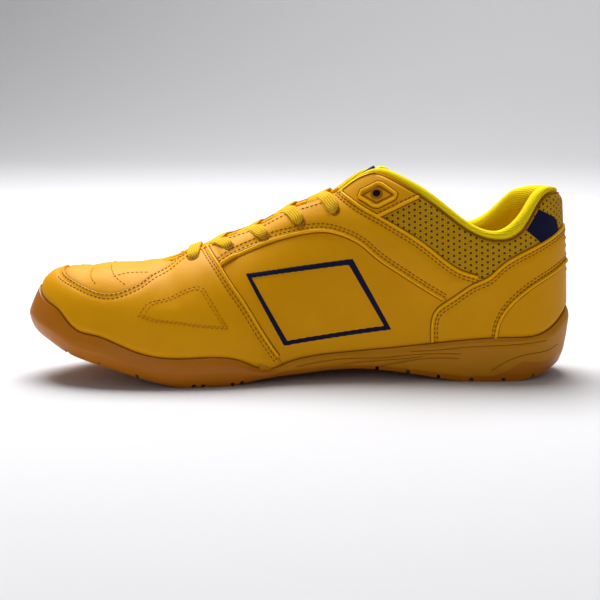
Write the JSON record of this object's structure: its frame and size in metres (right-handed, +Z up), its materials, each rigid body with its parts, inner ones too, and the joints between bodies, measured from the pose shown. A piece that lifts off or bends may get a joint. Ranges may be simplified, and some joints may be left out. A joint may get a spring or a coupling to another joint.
{
  "type": "indoor soccer shoe",
  "caption": "Low-cut laced indoor soccer shoe for the right foot, with a wrapped toe, a padded collar, an arched eyestay band, a foam midsole and a flat grooved rubber outsole.",
  "frame": {"origin": "on the floor, under the middle of the shoe's length and width", "axes": "+X points to the heel and -X to the toe, -Y to the inner side of the foot and +Y to the outer side, +Z up"},
  "size_m": [0.29, 0.1037, 0.1122],
  "materials": {
    "gum_rubber": "smooth moulded gum rubber",
    "sole_foam": "moulded foam skin",
    "insole_cloth": "woven",
    "leather": "smooth grain, satin",
    "lining_knit": "brushed knit",
    "tongue_mesh": "padded mesh",
    "lace": "flat woven"
  },
  "bodies": {
    "root": {"outsole": "gum_rubber", "midsole": "sole_foam", "insole": "insole_cloth", "upper": "leather", "heel_counter": "leather", "toe_panel": "leather", "eyestay_medial": "leather", "eyestay_lateral": "leather", "collar_lining": "lining_knit", "tongue": "tongue_mesh", "lace_bar": "lace", "lace_crossing_1": "lace", "lace_crossing_2": "lace", "lace_crossing_3": "lace", "lace_crossing_4": "lace"}
  },
  "joints": []
}
